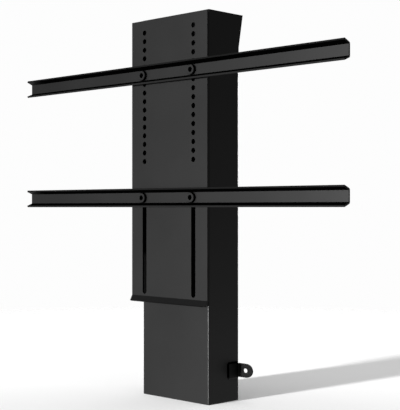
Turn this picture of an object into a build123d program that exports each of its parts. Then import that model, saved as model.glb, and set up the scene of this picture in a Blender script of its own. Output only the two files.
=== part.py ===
from build123d import *
import math
import os

# Fits
slide_gap = 0.3          # between pieces that slide past each other
running_gap = 0.05       # round a shaft in its bore
overrun = 2.0            # how far a cut runs past a face

# Column that stands on the floor
column_width = 162.0
column_depth = 74.0
shell_height = 564.0
shell_wall = 2.0
shell_bend_r = 2.4
base_thickness = 6.0
floor_hole_r = 2.5
floor_hole_inset_x = 13.0
floor_hole_inset_y = 13.0

# Plastic collar on the column's top edge
collar_lip = 4.0
collar_skirt = 6.0

# Mast that slides in the column
guide_gap_x = 4.0
guide_gap_y = 5.0
mast_wall = 2.5
mast_bend_r = 3.0
mast_floor_gap = 20.0
mast_head_thickness = 5.0
guide_overlap = 164.0    # mast left in the column's shell at full lift

# Guide pads between mast and column
pad_height = 60.0
pad_width = 14.0
side_pad_width = 24.0
pad_inset_x = 15.0
pad_end_gap = 2.0

# Hood over the mast's head
hood_height = 91.0
hood_wall = 2.0
hood_seam = 3.0
hood_straight = 34.5     # upright stretch of its rear wall
hood_flare = 10.2        # how far the rear wall leans back at the top
hood_screw_inset_x = 20.0
hood_screw_inset_y = 14.0
bumper_length = 12.0
bumper_inset = 16.0

# Mounting plate with two columns of holes, two slots and a bent lip
plate_width = 185.0
plate_height = 481.6
plate_thickness = 3.0
plate_drop = 4.4         # plate's top edge below the hood's top
plate_stand_off = 16.0   # plate's front before the column's front
hole_spacing = 120.0
hole_pitch = 15.0
hole_rows = 16
hole_r = 4.5
first_hole_drop = 21.6
slot_r = 5.0
slot_drop = 57.0         # upper end below the lowest holes
slot_rise = 3.4          # slot's lower end above the bend
lip_forward = 5.0
lip_fall = 9.2
lip_bend_r = 1.5

# Edge stiffeners behind the plate
stiffener_wall = 2.0
stiffener_flange = 10.0
stiffener_rise = 73.0    # lower end above the plate's bend
stiffener_gap = 0.8

# Hat section that joins the plate to the mast
spacer_sheet = 2.5
spacer_web = 80.0
spacer_width = 140.0
spacer_rise = 5.0        # lower end above the hood's lower edge
spacer_height = 74.0
spacer_bend_r = 1.5

# Rails across the plate
rail_length = 765.0
rail_sheet = 3.0
rail_web_half = 9.0      # inside, from the rail's middle to the corner
rail_flange_forward = 11.2
rail_flange_spread = 4.5
rail_bend_r = 0.6
rows_above_upper_rail = 5
rail_slot_gap = 2.7      # lower rail's bolts below the slot's upper end

# Bolts, washers and nuts that hold the rails
bolt_r = 4.0
bolt_head_r = 8.5
bolt_head_height = 4.9
bolt_head_bevel = 0.5
bolt_recess_r = 4.35
bolt_recess_depth = 3.4
bolt_socket_r = 2.5
bolt_socket_depth = 3.0
bolt_tail = 1.2
washer_r = 8.0
washer_thickness = 1.6
nut_r = 6.5
nut_thickness = 6.5

# Wall brackets low on the column's sides
bracket_sheet = 2.5
bracket_height = 24.0
bracket_centre_rise = 51.9
bracket_flange = 26.5
bracket_reach = 33.1
bracket_end_depth = 15.0
bracket_hole_reach = 17.1
bracket_hole_r = 3.75
bracket_hole_length = 10.0
bracket_bend_r = 2.5
weld_leg = 3.0
weld_rise = 2.0

# Service cover on the column's rear
cover_opening_half = 44.0
cover_opening_rise = 40.0
cover_opening_height = 142.0
cover_margin = 8.0
cover_thickness = 1.5
cover_screw_length = 4.2

# Small screws
screw_head_r = 3.5
screw_head_height = 1.8
screw_r = 2.0
screw_socket_r = 1.25
screw_socket_depth = 1.1

# Cable inlet, low on the rear
inlet_offset = 30.0
inlet_rise = 16.0
inlet_r = 7.0
inlet_bore_r = 4.5
inlet_flange_r = 9.0
inlet_flange = 1.5

# Gearbox on the base plate
housing_gap = 1.9        # between housing and mast
housing_wall = 3.0
housing_height = 24.0
housing_floor = 10.0
gearbox_cover_thickness = 6.0
gear_gap = 0.6
gear_rise = 1.0
gear_face = 10.0
gear_teeth = 42
pinion_teeth = 14
gear_backlash = 0.12      # taken off each gear's teeth
dedendum_share = 1.25
flank_start_share = 0.1
flank_shares = (0.0, 0.35, 0.7, 1.0)
pressure_angle = 20
gearbox_screw_inset = 4.0
gearbox_screw_bite = 5.0

# Spindle, its bearings and the nut
spindle_r = 6.0
spindle_journal_r = 4.0
spindle_end_gap = 2.0
stop_collar_r = 9.0
stop_collar_height = 6.0
lower_bearing_r = 11.0
lower_bearing_height = 7.0
upper_bearing_r = 12.0
nut_plate_thickness = 4.0
nut_plate_rise = 18.0    # above the motor's end cap
nut_body_r = 10.0
nut_body_height = 36.0
nut_flange_r = 16.0
nut_flange_height = 5.0
nut_screw_circle_r = 13.0
nut_screws = 3
nut_screw_head_r = 2.5
nut_screw_r = 1.5

# Motor on the gearbox cover
motor_spindle_gap = 4.0
motor_length = 64.0
motor_can_wall = 1.5
motor_cap_height = 6.0
motor_shaft_r = 3.0
motor_pilot_r = 9.0
motor_pilot_depth = 3.0
motor_ear_reach = 7.6
motor_ear_half = 5.0
motor_ear_thickness = 2.5
rotor_gap = 1.2
rotor_end_gap = 8.0
magnet_thickness = 4.0
magnet_end_gap = 6.0
magnet_side_gap = 6.0

# Switch strip beside the spindle
strip_thickness = 2.0
strip_half = 6.0
strip_foot_gap = 1.0     # its foot above the base plate
strip_gap = 1.5
switch_height = 12.0
switch_depth = 6.0
switch_plunger_r = 1.2
switch_plunger_height = 1.5
strip_screw_r = 1.5
strip_screw_head_r = 2.5
strip_screw_length = 7.0
strip_screw_offset = 3.2

# Control box on the base plate
box_gap = 3.4
box_width = 28.0
box_half_depth = 22.0
box_height = 70.0
box_wall = 1.5
box_lid = 2.0
board_thickness = 1.6
board_margin = 3.0
ear_length = 7.0
ear_half = 6.0
ear_thickness = 3.0
box_screw_bite = 4.5

# Sizes worked out from the ones above
lift_travel = shell_height - guide_overlap
half_width = column_width / 2
half_depth = column_depth / 2
inner_half_width = half_width - shell_wall
inner_half_depth = half_depth - shell_wall
mast_half_width = inner_half_width - guide_gap_x
mast_half_depth = inner_half_depth - guide_gap_y
mast_inner_half_width = mast_half_width - mast_wall
mast_inner_half_depth = mast_half_depth - mast_wall
collar_top = shell_height + collar_lip
hood_bottom = collar_top + hood_seam
hood_top = hood_bottom + hood_height
hood_rear = half_depth + hood_flare
mast_bottom = base_thickness + mast_floor_gap
mast_head_top = hood_top - hood_wall
mast_top = mast_head_top - mast_head_thickness
plate_front = -half_depth - plate_stand_off
plate_back = plate_front + plate_thickness
plate_top = hood_top - plate_drop
plate_bend = plate_top - plate_height
hole_x = hole_spacing / 2
first_hole = plate_top - first_hole_drop
slot_bottom = plate_bend + slot_rise
slot_top = first_hole - (hole_rows - 1) * hole_pitch - slot_drop
upper_rail_z = first_hole - rows_above_upper_rail * hole_pitch
lower_rail_z = slot_top - bolt_r - rail_slot_gap
rail_tip_forward = rail_sheet + rail_flange_forward
rail_tip_half = rail_web_half + rail_flange_spread
housing_half_depth = mast_inner_half_depth - housing_gap
gear_tip_r = housing_half_depth - housing_wall - gear_gap
gear_module = gear_tip_r / (gear_teeth / 2 + 1)
gear_distance = gear_module * (gear_teeth + pinion_teeth) / 2
pinion_tip_r = gear_module * (pinion_teeth / 2 + 1)
motor_x = -gear_distance
motor_r = gear_distance - spindle_r - motor_spindle_gap
housing_low_x = motor_x - motor_r - gear_gap
housing_high_x = gear_tip_r + gear_gap + housing_wall
housing_top = base_thickness + housing_height
cavity_floor = base_thickness + housing_floor
gear_bottom = cavity_floor + gear_rise
gear_top = gear_bottom + gear_face
gearbox_top = housing_top + gearbox_cover_thickness
motor_top = gearbox_top + motor_length
cap_top = motor_top + motor_cap_height
nut_plate_bottom = cap_top + nut_plate_rise
nut_plate_top = nut_plate_bottom + nut_plate_thickness
nut_top = nut_plate_bottom + nut_body_height
spindle_stop = nut_top + lift_travel + spindle_end_gap
spindle_top = spindle_stop + stop_collar_height
strip_left = housing_high_x
strip_right = strip_left + strip_thickness
strip_bottom = base_thickness + strip_foot_gap
strip_screw_level = base_thickness + housing_floor / 2
low_switch_top = nut_plate_bottom - slide_gap - switch_plunger_height
high_switch_bottom = nut_plate_top + lift_travel + slide_gap + switch_plunger_height
strip_top = high_switch_bottom + switch_height
box_left = strip_right + box_gap
box_right = box_left + box_width
box_top = base_thickness + box_height
screw_points = [
    (housing_low_x + gearbox_screw_inset, housing_half_depth - gearbox_screw_inset),
    (housing_low_x + gearbox_screw_inset, gearbox_screw_inset - housing_half_depth),
    (housing_high_x - gearbox_screw_inset, housing_half_depth - gearbox_screw_inset),
    (housing_high_x - gearbox_screw_inset, gearbox_screw_inset - housing_half_depth),
]
both_sides = (-1, 1)
corner_signs = [(sx, sy) for sx in both_sides for sy in both_sides]


# Shapes that several pieces share
def block(x, y, z):
    size = Box(x[1] - x[0], y[1] - y[0], z[1] - z[0])
    return Pos((x[0] + x[1]) / 2, (y[0] + y[1]) / 2, (z[0] + z[1]) / 2) * size


def rod(radius, z, at=(0, 0)):
    return Pos(at[0], at[1], (z[0] + z[1]) / 2) * Cylinder(radius, z[1] - z[0])


def cross_rod(radius, y, at):
    return Pos(at[0], (y[0] + y[1]) / 2, at[1]) * Rot(90, 0, 0) * Cylinder(radius, y[1] - y[0])


def ring(outer_r, inner_r, z, at=(0, 0)):
    return rod(outer_r, z, at) - rod(inner_r, (z[0] - overrun, z[1] + overrun), at)


def rounded_bar(half_x, half_y, corner_r, z):
    face = RectangleRounded(2 * half_x, 2 * half_y, corner_r)
    return Pos(0, 0, z[0]) * extrude(face, z[1] - z[0])


def bent_sheet(points, sheet, bend_r, plane, low, high):
    path = FilletPolyline(*points, radius=bend_r)
    face = make_face(offset(path, amount=sheet, side=Side.RIGHT))
    return plane.offset(low) * extrude(face, high - low)


def hexagon(flat_r, z):
    face = RegularPolygon(flat_r, 6, major_radius=False)
    return Pos(0, 0, z[0]) * extrude(face, z[1] - z[0])


def screw(head_r, head_height, shank_r, length, socket_r, socket_depth):
    # The head's seat is at height 0 and the shank points down
    body = rod(head_r, (0, head_height)) + rod(shank_r, (-length, 0))
    return body - hexagon(socket_r, (head_height - socket_depth, head_height + overrun))


def small_screw(length):
    return screw(screw_head_r, screw_head_height, screw_r, length, screw_socket_r, screw_socket_depth)


def mirrored(shape):
    return shape, mirror(shape, Plane.YZ)


def group(shapes):
    return Compound(children=[solid for shape in shapes for solid in shape.solids()])


def save(shape, node):
    export_step(shape, "parts/" + node + ".step")


# Column
def base_plate():
    plate = rounded_bar(inner_half_width, inner_half_depth, shell_bend_r - shell_wall, (0, base_thickness))
    for sx, sy in corner_signs:
        at = (sx * (half_width - floor_hole_inset_x), sy * (half_depth - floor_hole_inset_y))
        plate -= rod(floor_hole_r, (-overrun, base_thickness + overrun), at)
    for at in screw_points:
        z = (base_thickness - gearbox_screw_bite, base_thickness + overrun)
        plate -= rod(screw_r + running_gap, z, at)
    at = (box_right + ear_length / 2, 0)
    z = (base_thickness - box_screw_bite, base_thickness + overrun)
    return plate - rod(screw_r + running_gap, z, at)


def column_shell():
    outer = rounded_bar(half_width, half_depth, shell_bend_r, (0, shell_height))
    inner_r = shell_bend_r - shell_wall
    z = (-overrun, shell_height + overrun)
    shell = outer - rounded_bar(inner_half_width, inner_half_depth, inner_r, z)
    through_rear = (inner_half_depth - overrun, half_depth + overrun)
    shell -= block((-cover_opening_half, cover_opening_half), through_rear,
                   (cover_opening_rise, cover_opening_rise + cover_opening_height))
    for x, z in cover_screw_points():
        shell -= cross_rod(screw_r + running_gap, through_rear, (x, z))
    shell -= cross_rod(inlet_r + running_gap, through_rear, (inlet_offset, inlet_rise))
    return shell


def column_collar():
    inner_half_x = mast_half_width + slide_gap
    inner_half_y = mast_half_depth + slide_gap
    skirt_bottom = shell_height - collar_skirt
    lip = rounded_bar(half_width, half_depth, shell_bend_r, (shell_height, collar_top))
    inner_r = shell_bend_r - shell_wall
    skirt = rounded_bar(inner_half_width, inner_half_depth, inner_r, (skirt_bottom, shell_height))
    opening = rounded_bar(inner_half_x, inner_half_y, mast_bend_r + slide_gap,
                          (skirt_bottom - overrun, collar_top + overrun))
    return lip + skirt - opening


def stop_bumpers():
    # Rubber blocks on the collar, under the hood's side walls
    bumpers = []
    for sx, sy in corner_signs:
        x = sorted((sx * (half_width - hood_wall), sx * half_width))
        y_middle = sy * (half_depth - bumper_inset)
        y = (y_middle - bumper_length / 2, y_middle + bumper_length / 2)
        bumpers.append(block(x, y, (collar_top, hood_bottom - slide_gap)))
    return group(bumpers)


def guide_pads(wall_x, wall_y, face_x, face_y, z):
    # A pad lies between its wall and the face that it almost touches
    pads = []
    for side in both_sides:
        x = sorted((side * wall_x, side * face_x))
        pads.append(block(x, (-side_pad_width / 2, side_pad_width / 2), z))
        for end in both_sides:
            middle = end * (mast_half_width - pad_inset_x)
            y = sorted((side * wall_y, side * face_y))
            pads.append(block((middle - pad_width / 2, middle + pad_width / 2), y, z))
    return group(pads)


def upper_guide_pads():
    top = shell_height - collar_skirt - pad_end_gap
    return guide_pads(inner_half_width, inner_half_depth, mast_half_width + slide_gap,
                      mast_half_depth + slide_gap, (top - pad_height, top))


def lower_guide_pads():
    bottom = mast_bottom + pad_end_gap
    return guide_pads(mast_half_width, mast_half_depth, inner_half_width - slide_gap,
                      inner_half_depth - slide_gap, (bottom, bottom + pad_height))


def cover_screw_points():
    edge = cover_margin / 2
    low = cover_opening_rise - edge
    high = cover_opening_rise + cover_opening_height + edge
    return [(side * (cover_opening_half + edge), z) for side in both_sides for z in (low, high)]


def service_cover():
    half = cover_opening_half + cover_margin
    low = cover_opening_rise - cover_margin
    high = cover_opening_rise + cover_opening_height + cover_margin
    cover = block((-half, half), (half_depth, half_depth + cover_thickness), (low, high))
    cover = fillet(cover.edges().filter_by(Axis.Y), cover_margin / 2)
    through = (half_depth - overrun, half_depth + cover_thickness + overrun)
    for x, z in cover_screw_points():
        cover -= cross_rod(screw_r + running_gap, through, (x, z))
    return cover


def service_cover_screws():
    one = Rot(-90, 0, 0) * small_screw(cover_screw_length)
    return group([Pos(x, half_depth + cover_thickness, z) * one for x, z in cover_screw_points()])


def wall_bracket():
    # The right-hand one: a flange on the column's side and a drilled tab beside its rear
    low = bracket_centre_rise - bracket_height / 2
    high = bracket_centre_rise + bracket_height / 2
    corner = (half_width, half_depth)
    path = [(half_width, half_depth - bracket_flange), corner, (half_width + bracket_reach, half_depth)]
    strip = bent_sheet(path, bracket_sheet, bracket_bend_r + bracket_sheet, Plane.XY, low, high)
    arc_start = bracket_reach - bracket_end_depth
    end_x = half_width + arc_start
    rounded = Pos(end_x, half_depth, bracket_centre_rise) * Rot(90, 0, 0) * extrude(
        Ellipse(bracket_end_depth, bracket_height / 2), bracket_flange, both=True)
    keep = rounded + block((0, end_x), (0, half_depth + overrun), (low, high))
    half_slot = bracket_hole_length / 2 - bracket_hole_r
    hole = half_width + bracket_hole_reach
    y = (half_depth - bracket_sheet - overrun, half_depth + overrun)
    strip = strip & keep
    for side in both_sides:
        strip -= cross_rod(bracket_hole_r, y, (hole + side * half_slot, bracket_centre_rise))
    strip -= block((hole - half_slot, hole + half_slot), y,
                   (bracket_centre_rise - bracket_hole_r, bracket_centre_rise + bracket_hole_r))
    return strip


def bracket_welds():
    # Fillet beads along the flange's front, upper and lower edges
    front = half_depth - bracket_flange
    back = half_depth - bracket_bend_r - bracket_sheet
    low = bracket_centre_rise - bracket_height / 2
    high = bracket_centre_rise + bracket_height / 2
    beads = [Pos(0, 0, low) * extrude(weld_section(front, -weld_leg), high - low)]
    for edge, leg in ((high, weld_leg), (low, -weld_leg)):
        beads.append(Plane.XZ.offset(-back) * extrude(weld_section(edge, leg), back - front))
    return group([side for bead in beads for side in mirrored(bead)])


def weld_section(edge, leg):
    corners = [(half_width, edge), (half_width, edge + leg), (half_width + weld_rise, edge)]
    return make_face(Polyline(*corners, close=True))


def cable_grommet():
    at = (inlet_offset, inlet_rise)
    body = cross_rod(inlet_r, (inner_half_depth - inlet_flange, half_depth + inlet_flange), at)
    body += cross_rod(inlet_flange_r, (half_depth, half_depth + inlet_flange), at)
    body += cross_rod(inlet_flange_r, (inner_half_depth - inlet_flange, inner_half_depth), at)
    through = (inner_half_depth - inlet_flange - overrun, half_depth + inlet_flange + overrun)
    return body - cross_rod(inlet_bore_r, through, at)


# Gearbox and motor
def gearbox_housing():
    housing = block((housing_low_x, housing_high_x), (-housing_half_depth, housing_half_depth),
                    (base_thickness, housing_top))
    cavity = (cavity_floor, housing_top + overrun)
    housing -= rod(gear_tip_r + gear_gap, cavity)
    housing -= rod(pinion_tip_r + gear_gap, cavity, (motor_x, 0))
    bearing_seat = cavity_floor - lower_bearing_height
    housing -= rod(lower_bearing_r + running_gap, (bearing_seat, cavity_floor + overrun))
    for at in screw_points:
        housing -= rod(screw_r + running_gap, (base_thickness - overrun, housing_top + overrun), at)
    return housing - strip_screw_holes(strip_right - strip_screw_length, strip_left + overrun)


def gearbox_cover():
    cover = block((housing_low_x, housing_high_x), (-housing_half_depth, housing_half_depth),
                  (housing_top, gearbox_top))
    through = (housing_top - overrun, gearbox_top + overrun)
    cover -= rod(upper_bearing_r + running_gap, through)
    pilot_seat = gearbox_top - motor_pilot_depth
    cover -= rod(motor_pilot_r + running_gap, (pilot_seat, gearbox_top + overrun), (motor_x, 0))
    cover -= rod(motor_shaft_r + gear_gap, through, (motor_x, 0))
    for at in screw_points:
        cover -= rod(screw_r + running_gap, through, at)
    for at in motor_screw_points():
        cover -= rod(screw_r + running_gap, through, at)
    return cover


def gearbox_screws():
    length = gearbox_top - base_thickness + gearbox_screw_bite
    return group([Pos(x, y, gearbox_top) * small_screw(length) for x, y in screw_points])


def spindle_bearings():
    seat = cavity_floor - lower_bearing_height
    lower = ring(lower_bearing_r, spindle_journal_r + running_gap, (seat, cavity_floor))
    upper = ring(upper_bearing_r, spindle_r + running_gap, (housing_top, gearbox_top))
    return group([lower, upper])


def motor_screw_points():
    reach = motor_r + motor_ear_reach / 2
    return [(motor_x, side * reach) for side in both_sides]


def motor_can():
    at = (motor_x, 0)
    can = rod(motor_r, (gearbox_top, motor_top), at)
    can -= rod(motor_r - motor_can_wall, (gearbox_top + motor_ear_thickness, motor_top + overrun), at)
    reach = motor_r + motor_ear_reach
    ear = block((motor_x - motor_ear_half, motor_x + motor_ear_half), (-reach, reach),
                (gearbox_top, gearbox_top + motor_ear_thickness))
    can += ear
    can += rod(motor_pilot_r, (gearbox_top - motor_pilot_depth, gearbox_top), at)
    can -= rod(motor_shaft_r + running_gap, (gearbox_top - motor_pilot_depth - overrun, motor_top), at)
    for x, y in motor_screw_points():
        can -= rod(screw_r + running_gap, (gearbox_top - overrun, motor_top), (x, y))
    return can


def motor_screws():
    top = gearbox_top + motor_ear_thickness
    length = motor_ear_thickness + gearbox_cover_thickness
    return group([Pos(x, y, top) * small_screw(length) for x, y in motor_screw_points()])


def motor_end_cap():
    at = (motor_x, 0)
    cap = rod(motor_r, (motor_top, cap_top), at)
    return cap - rod(motor_shaft_r + running_gap, (motor_top - overrun, cap_top - motor_can_wall), at)


def motor_magnets():
    at = (motor_x, 0)
    outer_r = motor_r - motor_can_wall
    z = (gearbox_top + motor_ear_thickness + magnet_end_gap, motor_top - magnet_end_gap)
    shell = ring(outer_r, outer_r - magnet_thickness, z, at)
    gap = block((motor_x - motor_r, motor_x + motor_r), (-magnet_side_gap / 2, magnet_side_gap / 2),
                (gearbox_top, motor_top))
    return group([shell - gap])


def motor_rotor():
    at = (motor_x, 0)
    shaft = rod(motor_shaft_r, (gear_bottom, cap_top - motor_can_wall - running_gap), at)
    core_r = motor_r - motor_can_wall - magnet_thickness - rotor_gap
    core = rod(core_r, (gearbox_top + rotor_end_gap, motor_top - rotor_end_gap), at)
    return shaft + core


# Gears with involute teeth
def gear_outline(teeth, turn):
    pitch_r = gear_module * teeth / 2
    base_r = pitch_r * math.cos(math.radians(pressure_angle))
    tip_r = pitch_r + gear_module
    root_r = pitch_r - gear_module * dedendum_share
    start_r = max(base_r, root_r + gear_module * flank_start_share)
    flank_radii = [start_r + (tip_r - start_r) * share for share in flank_shares]

    def involute(radius):
        angle = math.acos(min(1.0, base_r / radius))
        return math.tan(angle) - angle

    half_tooth = (math.pi * gear_module / 2 - gear_backlash) / 2 / pitch_r + involute(pitch_r)
    points = []
    for tooth in range(teeth):
        middle = turn + 2 * math.pi * tooth / teeth
        rising = [(root_r, middle - half_tooth)]
        rising += [(radius, middle - half_tooth + involute(radius)) for radius in flank_radii]
        falling = [(radius, 2 * middle - angle) for radius, angle in reversed(rising)]
        outline = rising + falling
        points += [(radius * math.cos(angle), radius * math.sin(angle)) for radius, angle in outline]
    return make_face(Polyline(*points, close=True))


def spindle_gear():
    gear = Pos(0, 0, gear_bottom) * extrude(gear_outline(gear_teeth, math.pi), gear_face)
    return gear - rod(spindle_r + running_gap, (gear_bottom - overrun, gear_top + overrun))


def motor_pinion():
    # A gap of the pinion faces a tooth of the spindle's gear
    turn = math.pi / pinion_teeth
    at = (motor_x, 0)
    gear = Pos(motor_x, 0, gear_bottom) * extrude(gear_outline(pinion_teeth, turn), gear_face)
    return gear - rod(motor_shaft_r + running_gap, (gear_bottom - overrun, gear_top + overrun), at)


# Spindle and nut
def spindle():
    journal_bottom = cavity_floor - lower_bearing_height + running_gap
    return rod(spindle_r, (cavity_floor + slide_gap, spindle_top)) + rod(
        spindle_journal_r, (journal_bottom, cavity_floor + slide_gap))


def spindle_stop_collar():
    return ring(stop_collar_r, spindle_r + running_gap, (spindle_stop, spindle_top))


def nut_screw_points():
    turns = [2 * math.pi * (index + 0.5) / nut_screws for index in range(nut_screws)]
    return [(nut_screw_circle_r * math.cos(turn), nut_screw_circle_r * math.sin(turn)) for turn in turns]


def nut_plate():
    inner_r = mast_bend_r - mast_wall
    z = (nut_plate_bottom, nut_plate_top)
    plate = rounded_bar(mast_inner_half_width, mast_inner_half_depth, inner_r, z)
    through = (nut_plate_bottom - overrun, nut_plate_top + overrun)
    plate -= rod(nut_body_r + running_gap, through)
    notch = strip_half + strip_gap
    plate -= block((strip_left - strip_gap, strip_right + strip_gap), (-notch, notch), through)
    for at in nut_screw_points():
        plate -= rod(nut_screw_r + running_gap, through, at)
    return plate


def drive_nut():
    nut = rod(nut_body_r, (nut_plate_bottom, nut_top))
    nut += rod(nut_flange_r, (nut_plate_top, nut_plate_top + nut_flange_height))
    through = (nut_plate_bottom - overrun, nut_top + overrun)
    nut -= rod(spindle_r + running_gap, through)
    for at in nut_screw_points():
        nut -= rod(nut_screw_r + running_gap, through, at)
    return nut


def drive_nut_screws():
    top = nut_plate_top + nut_flange_height
    length = nut_flange_height + nut_plate_thickness
    one = screw(nut_screw_head_r, screw_head_height, nut_screw_r, length,
                screw_socket_r, screw_socket_depth)
    return group([Pos(x, y, top) * one for x, y in nut_screw_points()])


# Switch strip and control box
def strip_screw_holes(low_x, high_x):
    hole = Rot(0, 90, 0) * Cylinder(strip_screw_r + running_gap, high_x - low_x)
    middle = (low_x + high_x) / 2
    return group([Pos(middle, y, strip_screw_level) * hole for y in strip_screw_places()])


def strip_screw_places():
    return [side * strip_screw_offset for side in both_sides]


def switch_strip():
    strip = block((strip_left, strip_right), (-strip_half, strip_half), (strip_bottom, strip_top))
    return strip - strip_screw_holes(strip_left - overrun, strip_right + overrun)


def strip_screws():
    one = Rot(0, 90, 0) * screw(strip_screw_head_r, screw_head_height, strip_screw_r, strip_screw_length,
                                screw_socket_r, screw_socket_depth)
    return group([Pos(strip_right, y, strip_screw_level) * one for y in strip_screw_places()])


def limit_switches():
    # The lower plunger points up at the nut plate, the upper one down
    x = (strip_right, strip_right + switch_depth)
    middle = strip_right + switch_depth - switch_plunger_r
    low = block(x, (-strip_half, strip_half), (low_switch_top - switch_height, low_switch_top))
    low += rod(switch_plunger_r, (low_switch_top, low_switch_top + switch_plunger_height), (middle, 0))
    high = block(x, (-strip_half, strip_half), (high_switch_bottom, strip_top))
    plunger_tip = high_switch_bottom - switch_plunger_height
    high += rod(switch_plunger_r, (plunger_tip, high_switch_bottom), (middle, 0))
    return group([low, high])


def control_box():
    x = (box_left, box_right)
    box = block(x, (-box_half_depth, box_half_depth), (base_thickness, box_top))
    inner_half = box_half_depth - box_wall
    box -= block((box_left + box_wall, box_right - box_wall), (-inner_half, inner_half),
                 (base_thickness + box_wall, box_top + overrun))
    box += block((box_right, box_right + ear_length), (-ear_half, ear_half),
                 (base_thickness, base_thickness + ear_thickness))
    return box - rod(screw_r + running_gap, (0, base_thickness + ear_thickness + overrun),
                     (box_right + ear_length / 2, 0))


def control_box_lid():
    return block((box_left, box_right), (-box_half_depth, box_half_depth), (box_top, box_top + box_lid))


def control_board():
    middle = (box_left + box_right) / 2
    y = (box_wall - box_half_depth, box_half_depth - box_wall)
    return block((middle, middle + board_thickness), y, (base_thickness + box_wall, box_top - board_margin))


def control_box_screw():
    top = base_thickness + ear_thickness
    return Pos(box_right + ear_length / 2, 0, top) * small_screw(ear_thickness + box_screw_bite)


# Mast and hood
def mast_tube():
    outer = rounded_bar(mast_half_width, mast_half_depth, mast_bend_r, (mast_bottom, mast_top))
    inner_r = mast_bend_r - mast_wall
    tube = outer - rounded_bar(mast_inner_half_width, mast_inner_half_depth, inner_r,
                               (mast_bottom - overrun, mast_top + overrun))
    y = (-mast_half_depth - overrun, -mast_inner_half_depth + overrun)
    for at in spacer_screw_points():
        tube -= cross_rod(screw_r + running_gap, y, at)
    return tube


def hood_screw_points():
    return [(sx * (mast_half_width - hood_screw_inset_x), sy * (mast_half_depth - hood_screw_inset_y))
            for sx, sy in corner_signs]


def mast_head():
    head = rounded_bar(mast_half_width, mast_half_depth, mast_bend_r, (mast_top, mast_head_top))
    for at in hood_screw_points():
        head -= rod(screw_r + running_gap, (mast_top - overrun, mast_head_top + overrun), at)
    return head


def hood():
    straight_top = hood_bottom + hood_straight
    lean = hood_flare / (hood_top - straight_top)
    inner_top = hood_top - hood_wall
    inner_rear = inner_half_depth + lean * (inner_top - straight_top)
    outside = [(-half_depth, hood_bottom), (-half_depth, hood_top), (hood_rear, hood_top),
               (half_depth, straight_top), (half_depth, hood_bottom)]
    inside = [(-half_depth - overrun, hood_bottom - overrun), (-half_depth - overrun, inner_top),
              (inner_rear, inner_top), (half_depth - hood_wall, straight_top),
              (half_depth - hood_wall, hood_bottom - overrun)]
    shell = side_prism(outside, half_width) - side_prism(inside, half_width - hood_wall)
    for at in hood_screw_points():
        shell -= rod(screw_r + running_gap, (inner_top - overrun, hood_top + overrun), at)
    return shell


def side_prism(points, half_x):
    face = make_face(Polyline(*points, close=True))
    return Plane.YZ * extrude(face, half_x, both=True)


def hood_screws():
    one = small_screw(hood_wall + mast_head_thickness)
    return group([Pos(x, y, hood_top) * one for x, y in hood_screw_points()])


# Plate and what carries it
def mounting_plate():
    lip_tip = (plate_front - lip_forward, plate_bend - lip_fall)
    points = [(plate_front, plate_top), (plate_front, plate_bend), lip_tip]
    half = plate_width / 2
    path = FilletPolyline(*points, radius=lip_bend_r)
    face = make_face(offset(path, amount=plate_thickness, side=Side.LEFT))
    plate = Plane.YZ * extrude(face, half, both=True)
    y = (plate_front - overrun, plate_back + overrun)
    for side in both_sides:
        x = side * hole_x
        for row in range(hole_rows):
            plate -= cross_rod(hole_r, y, (x, first_hole - row * hole_pitch))
        plate -= block((x - slot_r, x + slot_r), y, (slot_bottom + slot_r, slot_top - slot_r))
        for z in (slot_bottom + slot_r, slot_top - slot_r):
            plate -= cross_rod(slot_r, y, (x, z))
    return plate


def side_stiffener():
    # The right-hand one: a channel whose outer wall is in line with the column's side
    rear = -half_depth - stiffener_gap
    x = (half_width - stiffener_flange, half_width)
    z = (plate_bend + stiffener_rise, plate_top)
    wall = block((half_width - stiffener_wall, half_width), (plate_back, rear), z)
    front_flange = block(x, (plate_back, plate_back + stiffener_wall), z)
    rear_flange = block(x, (rear - stiffener_wall, rear), z)
    return wall + front_flange + rear_flange


def spacer_screw_points():
    return [(side * hole_x, first_hole - row * hole_pitch) for side in both_sides for row in (1, 3)]


def plate_spacer():
    web_back = plate_back + spacer_sheet
    half_web = spacer_web / 2
    half = spacer_width / 2
    mast_face = -mast_half_depth
    points = [(-half, mast_face), (-half_web, mast_face), (-half_web, web_back),
              (half_web, web_back), (half_web, mast_face), (half, mast_face)]
    low = hood_bottom + spacer_rise
    path_r = spacer_bend_r + spacer_sheet
    spacer = bent_sheet(points, spacer_sheet, path_r, Plane.XY, low, low + spacer_height)
    through = (mast_face - spacer_sheet - overrun, mast_face + overrun)
    for at in spacer_screw_points():
        spacer -= cross_rod(screw_r + running_gap, through, at)
    return spacer


def spacer_screws():
    one = Rot(90, 0, 0) * small_screw(spacer_sheet + mast_wall)
    return group([Pos(x, -mast_half_depth - spacer_sheet, z) * one for x, z in spacer_screw_points()])


# Rails and their bolts
def rail(level, gap):
    # An open channel: its web lies along the plate and its flanges spread forwards
    back = plate_front - gap
    front = back - rail_sheet
    tip = back - rail_tip_forward
    points = [(tip, level - rail_tip_half), (front, level - rail_web_half),
              (front, level + rail_web_half), (tip, level + rail_tip_half)]
    path = FilletPolyline(*points, radius=rail_bend_r)
    face = make_face(offset(path, amount=rail_sheet, side=Side.RIGHT))
    channel = Plane.YZ * extrude(face, rail_length / 2, both=True)
    for side in both_sides:
        channel -= cross_rod(hole_r, (front - overrun, back + overrun), (side * hole_x, level))
    return channel


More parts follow.
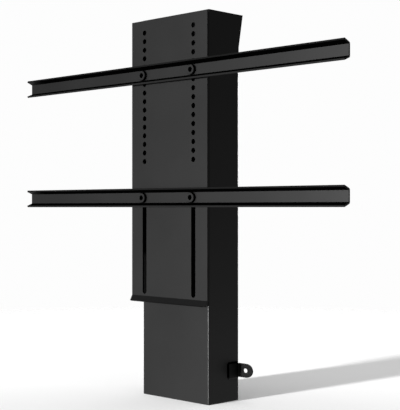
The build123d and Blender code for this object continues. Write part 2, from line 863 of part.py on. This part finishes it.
def rail_bolts(level, gap):
    seat = plate_front - gap - rail_sheet
    tail = plate_back + gap + washer_thickness + nut_thickness + bolt_tail
    length = tail - seat
    recess_bottom = bolt_head_height - bolt_recess_depth
    head = chamfer(rod(bolt_head_r, (0, bolt_head_height)).edges().group_by(Axis.Z)[-1], bolt_head_bevel)
    bolt = head + rod(bolt_r, (-length, 0))
    bolt -= rod(bolt_recess_r, (recess_bottom, bolt_head_height + overrun))
    bolt -= hexagon(bolt_socket_r, (recess_bottom - bolt_socket_depth, bolt_head_height))
    return group([Pos(side * hole_x, seat, level) * Rot(90, 0, 0) * bolt for side in both_sides])


def rail_washers(level, gap):
    one = ring(washer_r, bolt_r + running_gap, (0, washer_thickness))
    front = plate_back + gap
    return group([Pos(side * hole_x, front, level) * Rot(-90, 0, 0) * one for side in both_sides])


def rail_nuts(level, gap):
    one = hexagon(nut_r, (0, nut_thickness))
    one -= rod(bolt_r + running_gap, (-overrun, nut_thickness + overrun))
    front = plate_back + gap + washer_thickness
    return group([Pos(side * hole_x, front, level) * Rot(-90, 0, 0) * one for side in both_sides])


# Each piece goes to its own file
os.makedirs("parts", exist_ok=True)
bracket_right, bracket_left = mirrored(wall_bracket())
stiffener_right, stiffener_left = mirrored(side_stiffener())
pieces = {
    "base_plate": base_plate(),
    "column_shell": column_shell(),
    "column_collar": column_collar(),
    "stop_bumpers": stop_bumpers(),
    "upper_guide_pads": upper_guide_pads(),
    "service_cover": service_cover(),
    "service_cover_screws": service_cover_screws(),
    "wall_bracket_left": bracket_left,
    "wall_bracket_right": bracket_right,
    "bracket_welds": bracket_welds(),
    "cable_grommet": cable_grommet(),
    "gearbox_housing": gearbox_housing(),
    "gearbox_cover": gearbox_cover(),
    "gearbox_screws": gearbox_screws(),
    "spindle_bearings": spindle_bearings(),
    "motor_can": motor_can(),
    "motor_screws": motor_screws(),
    "motor_end_cap": motor_end_cap(),
    "motor_magnets": motor_magnets(),
    "motor_rotor": motor_rotor(),
    "motor_pinion": motor_pinion(),
    "spindle": spindle(),
    "spindle_gear": spindle_gear(),
    "spindle_stop_collar": spindle_stop_collar(),
    "switch_strip": switch_strip(),
    "strip_screws": strip_screws(),
    "limit_switches": limit_switches(),
    "control_box": control_box(),
    "control_box_lid": control_box_lid(),
    "control_board": control_board(),
    "control_box_screw": control_box_screw(),
    "mast_tube": mast_tube(),
    "mast_head": mast_head(),
    "lower_guide_pads": lower_guide_pads(),
    "nut_plate": nut_plate(),
    "drive_nut": drive_nut(),
    "drive_nut_screws": drive_nut_screws(),
    "hood": hood(),
    "hood_screws": hood_screws(),
    "mounting_plate": mounting_plate(),
    "side_stiffener_left": stiffener_left,
    "side_stiffener_right": stiffener_right,
    "plate_spacer": plate_spacer(),
    "spacer_screws": spacer_screws(),
    "upper_rail": rail(upper_rail_z, 0),
    "upper_rail_bolts": rail_bolts(upper_rail_z, 0),
    "upper_rail_washers": rail_washers(upper_rail_z, 0),
    "upper_rail_nuts": rail_nuts(upper_rail_z, 0),
    "lower_rail": rail(lower_rail_z, slide_gap),
    "lower_rail_bolts": rail_bolts(lower_rail_z, slide_gap),
    "lower_rail_washers": rail_washers(lower_rail_z, slide_gap),
    "lower_rail_nuts": rail_nuts(lower_rail_z, slide_gap),
}
for node, shape in pieces.items():
    save(shape, node)
print("gears: module", round(gear_module, 4), "distance", round(gear_distance, 3))
print("rails at", round(upper_rail_z, 3), round(lower_rail_z, 3), "hood top", hood_top)
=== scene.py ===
import bpy
import math
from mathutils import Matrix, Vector


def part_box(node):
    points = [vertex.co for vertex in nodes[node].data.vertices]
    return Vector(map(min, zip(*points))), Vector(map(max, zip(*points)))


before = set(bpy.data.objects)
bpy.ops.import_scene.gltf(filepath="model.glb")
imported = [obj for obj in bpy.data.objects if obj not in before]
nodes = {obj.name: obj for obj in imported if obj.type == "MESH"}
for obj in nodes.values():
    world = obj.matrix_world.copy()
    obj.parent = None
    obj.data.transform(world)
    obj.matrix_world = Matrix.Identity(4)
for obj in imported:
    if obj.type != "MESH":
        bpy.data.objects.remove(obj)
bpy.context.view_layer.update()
scene = bpy.context.scene
print("stage: frame loaded,", len(nodes), "nodes")


# Shader maths: a wrapped socket adds its Math nodes where it is used in an expression
class Wire:
    def __init__(self, owner, socket):
        self.owner = owner
        self.socket = socket

    def math(self, operation, first, second):
        return self.owner.add("ShaderNodeMath", {"operation": operation}, {0: first, 1: second})

    def __add__(self, other):
        return self.math("ADD", self, other)

    def __radd__(self, other):
        return self.math("ADD", other, self)

    def __sub__(self, other):
        return self.math("SUBTRACT", self, other)

    def __rsub__(self, other):
        return self.math("SUBTRACT", other, self)

    def __mul__(self, other):
        return self.math("MULTIPLY", self, other)

    def __rmul__(self, other):
        return self.math("MULTIPLY", other, self)

    def __truediv__(self, other):
        return self.math("DIVIDE", self, other)

    def __rtruediv__(self, other):
        return self.math("DIVIDE", other, self)

    def atMost(self, other):
        return self.math("MINIMUM", self, other)

    def atLeast(self, other):
        return self.math("MAXIMUM", self, other)

    def clipped(self, highest=1.0):
        return self.atLeast(0.0).atMost(highest)


# A Mix node's two inputs and its result, which have the same names for numbers and colours
mixSockets = {"FLOAT": (2, 3, 0), "RGBA": (6, 7, 2)}


# A node tree with one way to add a node: its settings first, then its sockets' values or links
class NodeTree:
    def __init__(self, tree):
        self.tree = tree

    def add(self, kind, settings=None, inputs=None, output=0):
        node = self.tree.nodes.new(kind)
        for key, value in (settings or {}).items():
            setattr(node, key, value)
        for key, value in (inputs or {}).items():
            self.feed(node.inputs[key], value)
        return Wire(self, node.outputs[output] if node.outputs else None)

    def feed(self, socket, value):
        if isinstance(value, Wire):
            self.tree.links.new(value.socket, socket)
        elif socket.type == "RGBA" and len(value) == 3:
            socket.default_value = (*value, 1)
        else:
            socket.default_value = value

    def coordinate(self, kind):
        return self.add("ShaderNodeTexCoord", output=kind)

    def split(self, vector):
        node = self.add("ShaderNodeSeparateXYZ", inputs={"Vector": vector}).socket.node
        return [Wire(self, output) for output in node.outputs]

    def blend(self, mask, first, second, kind="RGBA"):
        low, high, result = mixSockets[kind]
        inputs = {"Factor": mask, low: first, high: second}
        return self.add("ShaderNodeMix", {"data_type": kind}, inputs, output=result)


# One material and its shader
class Surface(NodeTree):
    def __init__(self, name, settings=None):
        self.material = bpy.data.materials.new(name)
        self.material.use_nodes = True
        super().__init__(self.material.node_tree)
        self.shader = self.tree.nodes["Principled BSDF"]
        for key, value in (settings or {}).items():
            self.set(key, value)

    def set(self, name, value):
        self.feed(self.shader.inputs[name], value)

    def place(self):
        return self.split(self.coordinate("Object"))

    def facing(self):
        return self.split(self.coordinate("Normal"))

    def noise(self, scale, detail=2.0, stretch=(1, 1, 1)):
        vector = self.add("ShaderNodeMapping", inputs={"Vector": self.coordinate("Object"), "Scale": stretch})
        return self.add("ShaderNodeTexNoise", inputs={"Vector": vector, "Scale": scale, "Detail": detail})

    def paintShade(self, unshaded, colour):
        # Where the mask is 0 the surface is painted shade: a bare dark matte one with no gloss
        matte = self.add("ShaderNodeBsdfDiffuse", inputs={"Color": colour})
        glossy = Wire(self, self.shader.outputs[0])
        mix = self.add("ShaderNodeMixShader", inputs={0: unshaded, 1: matte, 2: glossy})
        self.feed(self.tree.nodes["Material Output"].inputs["Surface"], mix)

    def bump(self, height, strength, distance):
        inputs = {"Strength": strength, "Distance": distance, "Height": height}
        self.set("Normal", self.add("ShaderNodeBump", inputs=inputs))


def dress(surface, *names):
    for name in names:
        data = nodes[name].data
        data.materials.clear()
        data.materials.append(surface.material)


def middleHeight(name):
    low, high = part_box(name)
    return (low[2] + high[2]) / 2


# A moulded or sprayed skin: small colour drift, slight drift of the gloss, and a fine grain
def makeCoat(name, values, level=None):
    coat = Surface(name, {"IOR": values["ior"]})
    drift = coat.noise(values["drift"], values["driftDetail"])
    coat.set("Base Color", coat.blend(drift, values["colour"], values["paler"]))
    coat.set("Roughness", values["roughness"] + (drift - 0.5) * values["roughnessDrift"])
    coat.bump(coat.noise(values["grain"]), values["grainStrength"], values["grainDepth"])
    # Painted shade: a dark matte mixed in where the coat's masks say
    if "recess" in values:
        coat.paintShade(unshadedShare(coat, values, level), values["dullPatchAndShade"])
    return coat


# Powder coat, black, with painted shade as a dark matte in recesses
powderCoat = {
    "ior": 1.7,
    "colour": (0.0075, 0.0075, 0.0076),
    "paler": (0.0105, 0.0105, 0.0106),
    "drift": 9.0,
    "driftDetail": 3.0,
    "roughness": 0.36,
    "roughnessDrift": 0.06,
    "grain": 900.0,
    "grainDepth": 0.00012,
    "grainStrength": 0.1,
    "skySamples": 12,
    "recessReach": 0.014,       # how near a neighbour brings painted shade into a corner
    "recess": (0.25, 0.9),      # share of open sky: full painted shade, no painted shade
    # colour of the painted shade; for bare metals the same key is the dull patches' colour
    "dullPatchAndShade": (0.0015, 0.0015, 0.0015),
}


def unshadedShare(coat, values, level):
    # 0 where the coat gets painted shade (a dark matte), 1 where it keeps its gloss; the keys of a coat say
    # which masks it has
    sky = coat.add("ShaderNodeAmbientOcclusion", {"samples": values["skySamples"]},
                   {"Distance": values["recessReach"]}, output="AO")
    shadeFull, shadeNone = values["recess"]
    unshaded = ((sky - shadeFull) / (shadeNone - shadeFull)).clipped()
    if "shadeEasesAbove" in values:
        unshaded = (unshaded + shadeEasesAbove(coat, values)).atMost(1.0)
    if "floorReach" in values:
        unshaded = (unshaded + nearFloor(coat, values)).atMost(1.0)
    if "brightBelow" in values:
        unshaded = (unshaded * brightBelow(coat, values)).atMost(1.0)
    if "channelTurn" in values:
        unshaded = (unshaded * flangeOutside(coat, values, level)).atLeast(openEnd(coat, values, level))
    if "wallTurn" in values:
        unshaded = unshaded * (1.0 - holeWalls(coat, values))
    if "recessRadius" in values:
        unshaded = unshaded * (1.0 - boltRecess(coat, values, level))
    return unshaded


def shadeEasesAbove(coat, values):
    # Rises with the height above the welded brackets, where the painted shade on the side eases
    foot, head = values["shadeEasesAbove"]
    return ((coat.place()[2] - foot) / (head - foot)).clipped(values["aboveShare"])


def nearFloor(coat, values):
    # 1 at the floor, which is no recess, down to 0 just above the recess mask's reach
    return (1.0 - coat.place()[2] / values["floorReach"]).atLeast(0.0)


def brightBelow(coat, values):
    # A factor on the unshaded share that is lowest on top of a bracket or weld and grows towards its lower
    # edge, so the painted shade eases downwards
    top, fade, share = values["brightBelow"]
    lower = ((top - coat.place()[2]) / fade).clipped()
    return (lower * (1.0 - share) + share) * values["brightGain"]


def flangeOutside(coat, values, middle):
    # 0 on the two flange faces that look into a rail's channel, 1 elsewhere
    inward = (middle - coat.place()[2]) * coat.facing()[2] / values["channelTurn"]
    return 1.0 - inward.clipped()


def openEnd(coat, values, middle):
    # 1 at the left end of a rail's upper flange, where light gets into the channel
    x, _, z = coat.place()
    atEnd = ((values["endFrom"] - x) / values["endReach"]).clipped()
    return atEnd * ((z - middle) / values["channelTurn"]).clipped()


def holeWalls(coat, values):
    # 1 on the walls of the plate's holes and slots, 0 on its faces and its outer edges
    sideways, across = coat.facing()[1], coat.place()[0]
    turned = (1.0 - sideways * sideways / values["wallTurn"]).atLeast(0.0)
    return turned * ((values["innerHalf"] ** 2 - across * across) / values["innerFade"]).clipped()


def boltRecess(coat, values, level):
    # 1 inside the round recess of each of a rail's two bolt heads, where painted shade goes
    x, _, z = coat.place()
    sideways = (x * x - values["spacingHalf"] ** 2) / (2 * values["spacingHalf"])     # from the nearer bolt
    upwards = z - level
    distanceSquared = sideways * sideways + upwards * upwards
    return ((values["recessRadius"] ** 2 - distanceSquared) / values["recessFade"]).clipped()


dress(makeCoat("powderCoat", powderCoat), "base_plate", "service_cover", "hood")

# The side stiffeners, with milder painted shade in their corners
stiffenerCoat = dict(powderCoat, recess=(0.1, 0.6))
dress(makeCoat("stiffenerCoat", stiffenerCoat), "side_stiffener_left", "side_stiffener_right")

# Painted shade darkens the plate where it meets the rails. The walls of the plate's holes and slots are in
# the shade of the plate, painted on as a dark matte. They are the faces that lie within innerHalf of the
# plate's middle and don't look forwards or backwards.
plateCoat = dict(powderCoat, recessReach=0.006, recess=(0.2, 0.75), wallTurn=0.6, innerHalf=0.087,
                 innerFade=0.0004)
dress(makeCoat("plateCoat", plateCoat), "mounting_plate")

# The rails' channels get painted shade: their inner faces are a dark matte but for the open left end
railCoat = dict(powderCoat, recessReach=0.022, recess=(0.15, 0.6), channelTurn=0.004, endFrom=-0.338,
                endReach=0.047)
for rail in ("upper_rail", "lower_rail"):
    dress(makeCoat(rail + "Coat", railCoat, middleHeight(rail)), rail)

# The column, with painted shade round its welded brackets, easing higher up and gone at the floor
weldedCoat = dict(powderCoat, recessReach=0.03, recess=(0.28, 0.92), shadeEasesAbove=(0.08, 0.16), aboveShare=0.4,
                  floorReach=0.034)
dress(makeCoat("weldedCoat", weldedCoat), "column_shell")

# The brackets' coat, darker and less glossy than the powder coat, with painted shade in its corners and over
# its top that eases towards its lower edge
bracketCoat = dict(powderCoat, ior=1.5, colour=(0.006, 0.006, 0.006), paler=(0.008, 0.008, 0.008),
                   roughness=0.5, recess=(0.45, 0.95), dullPatchAndShade=(0.0005, 0.0005, 0.0005),
                   brightBelow=(0.049, 0.009, 0.45), brightGain=2.2)
dress(makeCoat("bracketCoat", bracketCoat), "wall_bracket_left", "wall_bracket_right")
# The welds: painted shade, a near-black matte above their lowest bead, with a coarse grain
weldShade = dict(powderCoat, recess=(0.1, 0.5), dullPatchAndShade=(0.0005, 0.0005, 0.0005), drift=300.0, grain=500.0,
                 grainStrength=0.6, grainDepth=0.0004, brightBelow=(0.0415, 0.001, 0.0), brightGain=0.8)
dress(makeCoat("weldShade", weldShade), "bracket_welds")

# The heads of the rails' bolts, 2 * spacingHalf apart, with painted shade in their corners and black painted
# shade inside their recess
boltCoat = dict(powderCoat, recessReach=0.01, recess=(0.5, 0.85), spacingHalf=0.06, recessRadius=0.0046,
                recessFade=0.000002)
for bolts in ("upper_rail_bolts", "lower_rail_bolts"):
    dress(makeCoat(bolts + "Coat", boltCoat, middleHeight(bolts)), bolts)

# Screws with a black oxide skin, patchy where it is oily
blackOxide = {
    "metallic": 0.6,
    "colour": (0.022, 0.022, 0.023),
    "oily": (0.034, 0.033, 0.032),
    "patches": 60.0,
    "patchDetail": 4.0,
    "roughness": 0.36,
    "roughnessDrift": 0.2,
    "grain": 700.0,
    "grainDepth": 0.0001,
    "grainStrength": 0.1,
}


def makeBlackOxide(values):
    oxide = Surface("blackOxide", {"Metallic": values["metallic"]})
    patches = oxide.noise(values["patches"], values["patchDetail"])
    oxide.set("Base Color", oxide.blend(patches, values["colour"], values["oily"]))
    oxide.set("Roughness", values["roughness"] + (patches - 0.5) * values["roughnessDrift"])
    oxide.bump(oxide.noise(values["grain"]), values["grainStrength"], values["grainDepth"])
    return oxide


dress(makeBlackOxide(blackOxide), "service_cover_screws", "hood_screws")

# Bare and plated metals: dull patches and a fine grain, which runs round a turned piece
bareMetal = {
    "metallic": 1.0,
    "patches": 40.0,
    "patchDetail": 4.0,
    "roughnessDrift": 0.16,
    "grainDepth": 0.0001,
    "grainStrength": 0.12,
    "stretch": (1, 1, 1),
}


def spangle(metal, values):
    # One random level for each crystal of the zinc dip, with noise so that the crystals aren't flat
    scale, share = values["spangle"], values["spangleShare"]
    cells = metal.add("ShaderNodeTexVoronoi", inputs={"Vector": metal.coordinate("Object"), "Scale": scale},
                      output="Color")
    level = metal.add("ShaderNodeSeparateColor", inputs={"Color": cells}, output="Red")
    return level * share + metal.noise(scale * values["spangleFiner"], values["spangleDetail"]) * (1 - share)


def makeMetal(name, values):
    metal = Surface(name, {"Metallic": values["metallic"]})
    if "spangle" in values:
        patches = spangle(metal, values)
    else:
        patches = metal.noise(values["patches"], values["patchDetail"], values["stretch"])
    lines = metal.noise(values["grain"], stretch=values["stretch"])
    metal.set("Base Color", metal.blend(patches, values["colour"], values["dullPatchAndShade"]))
    metal.set("Roughness", values["roughness"] + (lines - 0.5) * values["roughnessDrift"])
    metal.bump(lines, values["grainStrength"], values["grainDepth"])
    return metal


zinc = dict(bareMetal, colour=(0.55, 0.56, 0.58), dullPatchAndShade=(0.42, 0.43, 0.44), roughness=0.3, grain=350.0)
dress(makeMetal("zincPlate", zinc),
      "upper_rail_washers", "lower_rail_washers", "upper_rail_nuts", "lower_rail_nuts", "gearbox_screws",
      "motor_screws", "strip_screws", "control_box_screw", "drive_nut_screws", "spacer_screws")

galvanised = dict(bareMetal, colour=(0.46, 0.47, 0.49), dullPatchAndShade=(0.36, 0.37, 0.39), roughness=0.45, grain=90.0,
                  spangle=130.0, spangleShare=0.6, spangleFiner=3, spangleDetail=3.0)
dress(makeMetal("galvanisedSheet", galvanised),
      "mast_tube", "mast_head", "nut_plate", "plate_spacer", "switch_strip")

turnedSteel = dict(bareMetal, colour=(0.56, 0.56, 0.57), dullPatchAndShade=(0.46, 0.46, 0.47), roughness=0.28, grain=60.0,
                   stretch=(1, 1, 14))
dress(makeMetal("turnedSteel", turnedSteel),
      "spindle", "spindle_gear", "spindle_stop_collar", "spindle_bearings", "motor_rotor", "motor_pinion",
      "motor_can")

bronze = dict(bareMetal, colour=(0.62, 0.42, 0.2), dullPatchAndShade=(0.5, 0.33, 0.16), roughness=0.32, grain=80.0,
              stretch=(1, 1, 12))
dress(makeMetal("turnedBronze", bronze), "drive_nut")

dieCast = dict(bareMetal, colour=(0.45, 0.45, 0.46), dullPatchAndShade=(0.36, 0.36, 0.37), roughness=0.55, grain=260.0)
dress(makeMetal("dieCast", dieCast), "gearbox_housing", "gearbox_cover")

ferrite = dict(bareMetal, colour=(0.11, 0.11, 0.12), dullPatchAndShade=(0.08, 0.08, 0.085), roughness=0.6, grain=300.0,
               metallic=0.3)
dress(makeMetal("ferrite", ferrite), "motor_magnets")

# Moulded plastic, rubber and the board's solder mask
blackPlastic = {
    "ior": 1.5,
    "colour": (0.026, 0.026, 0.027),
    "paler": (0.034, 0.034, 0.035),
    "drift": 14.0,
    "driftDetail": 3.0,
    "roughness": 0.5,
    "roughnessDrift": 0.1,
    "grain": 600.0,
    "grainDepth": 0.0001,
    "grainStrength": 0.2,
}
dress(makeCoat("blackPlastic", blackPlastic),
      "column_collar", "upper_guide_pads", "lower_guide_pads", "motor_end_cap", "limit_switches",
      "control_box", "control_box_lid")

blackRubber = dict(blackPlastic, colour=(0.020, 0.020, 0.021), paler=(0.03, 0.03, 0.03), roughness=0.72,
                   grain=400.0, grainStrength=0.3, drift=20.0)
dress(makeCoat("blackRubber", blackRubber), "stop_bumpers", "cable_grommet")

solderMask = dict(blackPlastic, colour=(0.02, 0.16, 0.07), paler=(0.03, 0.2, 0.09), roughness=0.3,
                  grain=500.0, grainDepth=0.00005, grainStrength=0.1, drift=60.0)
dress(makeCoat("solderMask", solderMask), "control_board")
print("stage: materials on the nodes")

# Floor: a pale disc whose rim fades into the white background
floorValues = {
    "radius": 1.7,
    "fadeFrom": 1.35,
    "steps": 96,
    "colour": (0.93, 0.93, 0.93),
    "frontShade": (0.78, 0.78, 0.78),   # the floor darkens a little towards the viewer
    "shadeFrom": 0.13,
    "shadeOver": 0.38,
    "towardsBack": (-0.699, 0.715),
    "toObject": (0.2, 0.2, 0.2),        # what the object gets back from it
}


def makeFloor(values):
    steps = values["steps"]
    turns = [2 * math.pi * step / steps for step in range(steps)]
    rim = [(values["radius"] * math.cos(turn), values["radius"] * math.sin(turn), 0) for turn in turns]
    data = bpy.data.meshes.new("studioFloor")
    data.from_pydata(rim, [], [tuple(range(steps))])
    floor = bpy.data.objects.new("studioFloor", data)
    scene.collection.objects.link(floor)
    paint = Surface("floorPaint", {"Roughness": 1.0, "Specular IOR Level": 0.0, "Emission Strength": 1.0})
    seen = paint.add("ShaderNodeLightPath", output="Is Camera Ray")
    x, y, _ = paint.place()
    backX, backY = values["towardsBack"]
    near = ((values["shadeFrom"] - (x * backX + y * backY)) / values["shadeOver"]).clipped()
    shown = paint.blend(near, values["colour"], values["frontShade"])
    black = (0, 0, 0)
    paint.set("Base Color", paint.blend(seen, black, shown))
    paint.set("Emission Color", paint.blend(seen, values["toObject"], black))
    fromCentre = paint.coordinate("Object")
    distance = paint.add("ShaderNodeVectorMath", {"operation": "LENGTH"}, {"Vector": fromCentre},
                         output="Value")
    paint.set("Alpha", ((values["radius"] - distance) / (values["radius"] - values["fadeFrom"])).clipped())
    data.materials.append(paint.material)
    return floor


floor = makeFloor(floorValues)

# World: white to the camera, dim as a light and in reflections, as the photo's black paint shows.
# Its reflection is brighter below the horizon than above.
worldValues = {
    "light": 0.1,
    "mirroredAbove": 0.05,
    "mirroredBelow": 0.114,
    "horizonFade": (-0.01, 0.2),
    "seen": 0.982,
}


def makeWorld(values):
    world = bpy.data.worlds.new("studio")
    scene.world = world
    world.use_nodes = True
    studio = NodeTree(world.node_tree)
    studio.tree.nodes.clear()
    below, above = values["horizonFade"]
    height = studio.split(studio.coordinate("Generated"))[2]
    mirrored = studio.add("ShaderNodeMapRange", inputs={
        "Value": height, "From Min": below, "From Max": above,
        "To Min": values["mirroredBelow"], "To Max": values["mirroredAbove"]})
    path = studio.add("ShaderNodeLightPath").socket.node
    level = values["light"]
    for ray, strength in (("Is Glossy Ray", mirrored), ("Is Transmission Ray", values["seen"]),
                          ("Is Camera Ray", values["seen"])):
        level = studio.blend(Wire(studio, path.outputs[ray]), level, strength, "FLOAT")
    background = studio.add("ShaderNodeBackground", inputs={"Color": (1, 1, 1, 1), "Strength": level})
    studio.add("ShaderNodeOutputWorld", inputs={"Surface": background})


makeWorld(worldValues)

# Suns: the bearing runs from -Y towards -X and the height above the horizon, both in degrees.
# The key is low and frontal. The floor has a low one of its own for the long shadow and one overhead,
# and the wall brackets have one that reaches past the column.
brackets = [nodes[name] for name in ("wall_bracket_left", "wall_bracket_right", "bracket_welds")]
suns = {
    "key": {"bearing": 12.0, "height": 0.0, "strength": 2.29, "spread": 8.0, "notOn": [floor] + brackets},
    "bracketKey": {"bearing": 6.5, "height": 0.0, "strength": 1.8, "spread": 3.5, "onlyOn": brackets},
    "backFill": {"bearing": 145.0, "height": 24.0, "strength": 2.6, "spread": 44.0, "notOn": [floor]},
    "backKey": {"bearing": 168.0, "height": 6.0, "strength": 1.3, "spread": 14.0, "notOn": [floor]},
    "floorGraze": {"bearing": 6.4, "height": 3.5, "strength": 26.1, "spread": 4.0, "onlyOn": [floor]},
    "floorTop": {"bearing": 0.0, "height": 90.0, "strength": 1.65, "spread": 70.0, "onlyOn": [floor]},
}
sunDistance = 3.0     # a sun shines the same from anywhere


def linkState(name, items, state):
    listed = bpy.data.collections.new(name)
    for item in items:
        listed.objects.link(item)
    for entry in listed.collection_objects:
        entry.light_linking.link_state = state
    return listed


noShadow = linkState("noShadow", [floor], "EXCLUDE")


def makeSun(name, values):
    data = bpy.data.lights.new(name, "SUN")
    data.energy = values["strength"]
    data.angle = math.radians(values["spread"])
    sun = bpy.data.objects.new(name, data)
    scene.collection.objects.link(sun)
    bearing, height = math.radians(values["bearing"]), math.radians(values["height"])
    towards = Vector((-math.sin(bearing) * math.cos(height), -math.cos(bearing) * math.cos(height),
                      math.sin(height)))
    sun.location = towards * sunDistance
    sun.rotation_euler = (-towards).to_track_quat("-Z", "Y").to_euler()
    if "onlyOn" in values:
        lit = linkState(name + "Lights", values["onlyOn"], "INCLUDE")
    else:
        lit = linkState(name + "Lights", values["notOn"], "EXCLUDE")
    sun.light_linking.receiver_collection = lit
    if floor not in values.get("onlyOn", ()):
        sun.light_linking.blocker_collection = noShadow     # the floor would cut so low a sun off at the foot


for sunName, sunValues in suns.items():
    makeSun(sunName, sunValues)

# Camera solved from the plate's holes, the rails and the column
cameraValues = {
    "at": (1.3078, -1.3125, 0.3303),
    "heading": 44.366,        # degrees from +Y towards -X
    "focalPixels": 1059.78,
    "horizonBelowCentre": 2.6,
    "longSide": 410.0,
    "sensor": 36.0,
}


def makeCamera(values):
    data = bpy.data.cameras.new("camera")
    data.sensor_width = values["sensor"]
    data.lens = values["focalPixels"] * values["sensor"] / values["longSide"]
    data.shift_y = values["horizonBelowCentre"] / values["longSide"]
    camera = bpy.data.objects.new("camera", data)
    scene.collection.objects.link(camera)
    camera.location = values["at"]
    camera.rotation_euler = (math.radians(90), 0, math.radians(values["heading"]))
    scene.camera = camera


makeCamera(cameraValues)
scene.view_settings.view_transform = "Standard"
print("stage: floor, light and camera in place")
